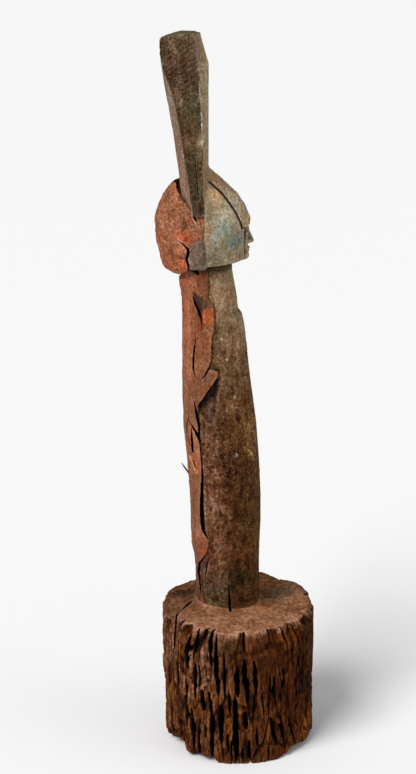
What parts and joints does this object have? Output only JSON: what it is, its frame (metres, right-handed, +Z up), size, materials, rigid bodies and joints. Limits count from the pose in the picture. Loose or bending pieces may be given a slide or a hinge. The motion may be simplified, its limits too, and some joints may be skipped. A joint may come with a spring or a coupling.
{
  "type": "carved reliquary post",
  "caption": "Weathered wooden reliquary post: a round block, a leaning trunk, a capped head and a flaring finial carved from one log.",
  "frame": {"origin": "middle of the block's flat underside", "axes": "+Z up the post; +X the way the carved face looks; +Y across the post, away from the side with the long split"},
  "size_m": [0.3132, 0.2964, 1.4],
  "materials": {
    "weathered_wood": "old dense hardwood left bare: dry, split and rotted brick red behind, greyed and worn smooth in front"
  },
  "bodies": {
    "root": {"reliquary_post": "weathered_wood"}
  },
  "joints": []
}
